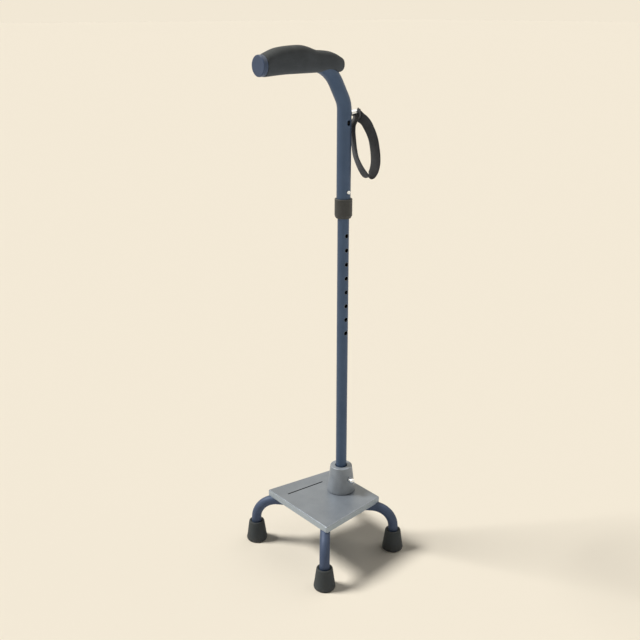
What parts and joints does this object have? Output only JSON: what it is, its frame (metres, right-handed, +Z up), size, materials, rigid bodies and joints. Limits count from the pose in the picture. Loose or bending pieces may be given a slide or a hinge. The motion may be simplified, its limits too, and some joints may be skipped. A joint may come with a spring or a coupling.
{
  "type": "quad cane",
  "caption": "Quad cane with an offset foam handle on a bent tube, telescoping shaft with push-button and lock collar, hanging wrist strap and a low base plate on splayed rubber-tipped legs.",
  "frame": {"origin": "centre of the cane's box at floor height; the shaft's axis stands at x = 0.048 m, y = 0", "axes": "+Z up along the shaft, -X the way the handle points, -Y the side of the height button and of the hub's screw"},
  "size_m": [0.233, 0.2292, 0.8694],
  "materials": {
    "blue_paint": "satin blue-grey paint on tube",
    "blue_plastic": "satin moulded blue-grey",
    "plate_paint": "satin grey paint on pressed sheet",
    "grey_casting": "satin cast",
    "bright_steel": "polished",
    "plain_steel": "zinc plated",
    "grip_foam": "matte foam rubber",
    "dark_nylon": "satin moulded",
    "black_rubber": "matte",
    "webbing": "woven"
  },
  "bodies": {
    "base": {"base_plate": "plate_paint", "base_hub": "grey_casting", "leg_socket": "grey_casting", "hub_bolt_1": "plain_steel", "hub_bolt_2": "plain_steel", "hub_bolt_3": "plain_steel", "hub_bolt_4": "plain_steel", "leg_front_left": "blue_paint", "leg_front_right": "blue_paint", "leg_rear_left": "blue_paint", "leg_rear_right": "blue_paint", "leg_clamp_front_left": "grey_casting", "leg_clamp_front_right": "grey_casting", "leg_clamp_rear_left": "grey_casting", "leg_clamp_rear_right": "grey_casting", "clamp_screw_front_left": "plain_steel", "clamp_screw_front_right": "plain_steel", "clamp_screw_rear_left": "plain_steel", "clamp_screw_rear_right": "plain_steel", "foot_tip_front_left": "black_rubber", "foot_tip_front_right": "black_rubber", "foot_tip_rear_left": "black_rubber", "foot_tip_rear_right": "black_rubber", "tip_washer_front_left": "plain_steel", "tip_washer_front_right": "plain_steel", "tip_washer_rear_left": "plain_steel", "tip_washer_rear_right": "plain_steel"},
    "hub_clamp_screw": {"hub_screw": "bright_steel"},
    "lower_shaft": {"lower_tube": "blue_paint", "tube_plug": "dark_nylon", "guide_bush": "dark_nylon", "centre_bolt": "plain_steel", "centre_washer": "plain_steel"},
    "upper_shaft": {"upper_tube": "blue_paint", "handgrip": "grip_foam", "grip_end_cap": "blue_plastic", "clamp_ring": "dark_nylon", "button_spring": "bright_steel", "strap_pin": "bright_steel", "strap_washer": "bright_steel", "strap_screw": "bright_steel"},
    "button": {"height_button": "bright_steel"},
    "collar": {"lock_collar": "dark_nylon"},
    "strap": {"wrist_strap": "webbing"}
  },
  "joints": [
    {"name": "base_turn", "type": "hinge", "parent": "base", "child": "lower_shaft", "pos_m": [0.048, 0, 0.1005], "axis": [0, 0, 1], "range_deg": [-180, 180]},
    {"name": "hub_screw_turn", "type": "hinge", "parent": "base", "child": "hub_clamp_screw", "pos_m": [0.048, 0, 0.129], "axis": [0, -1, 0], "range_deg": [0, 360]},
    {"name": "height_slide", "type": "slide", "parent": "lower_shaft", "child": "upper_shaft", "axis": [0, 0, 1], "range_m": [-0.072, 0], "deforming": ["button_spring"]},
    {"name": "button_press", "type": "slide", "parent": "upper_shaft", "child": "button", "axis": [0, 1, 0], "range_m": [0, 0.0076], "stiffness_N_per_m": 800, "springref_m": -0.001, "deforming": ["button_spring"]},
    {"name": "collar_turn", "type": "hinge", "parent": "upper_shaft", "child": "collar", "pos_m": [0.048, 0, 0.615], "axis": [0, 0, -1], "range_deg": [0, 180]},
    {"name": "strap_swing", "type": "hinge", "parent": "upper_shaft", "child": "strap", "pos_m": [0.0725, 0, 0.765], "axis": [1, 0, 0], "range_deg": [-90, 90]}
  ]
}
